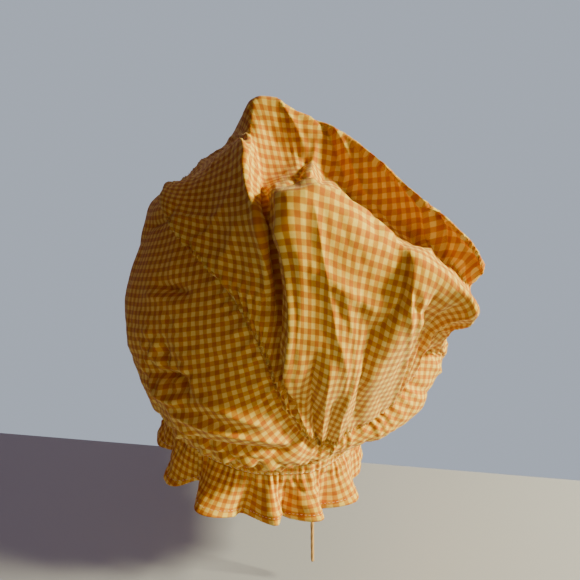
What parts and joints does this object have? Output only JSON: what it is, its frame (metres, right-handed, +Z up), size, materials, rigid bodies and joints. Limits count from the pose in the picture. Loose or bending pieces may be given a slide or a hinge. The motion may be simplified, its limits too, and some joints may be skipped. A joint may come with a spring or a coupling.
{
  "type": "prairie bonnet",
  "caption": "Gathered cotton sunbonnet with a deep brim, a full crumpled crown, a gathered neck casing, a curtain ruffle below it and a hanging drawstring end",
  "frame": {"origin": "the head seat: the inner side of the top of the seam between brim and crown, where the top of the wearer's head touches the cloth", "axes": "+X to the wearer's left, +Y to the back of the head, +Z up, as worn"},
  "size_m": [0.2496, 0.275, 0.3617],
  "materials": {
    "brim_gingham": "woven yellow and white gingham, matt",
    "crown_gingham": "woven yellow and white gingham, matt",
    "casing_gingham": "woven yellow and white gingham, gathered, matt",
    "ruffle_gingham": "woven yellow and white gingham, matt",
    "cord_cotton": "tan twisted cotton cord, matt"
  },
  "bodies": {
    "root": {"brim": "brim_gingham", "crown": "crown_gingham", "neck_casing": "casing_gingham", "curtain_ruffle": "ruffle_gingham", "drawstring": "cord_cotton"}
  },
  "joints": []
}
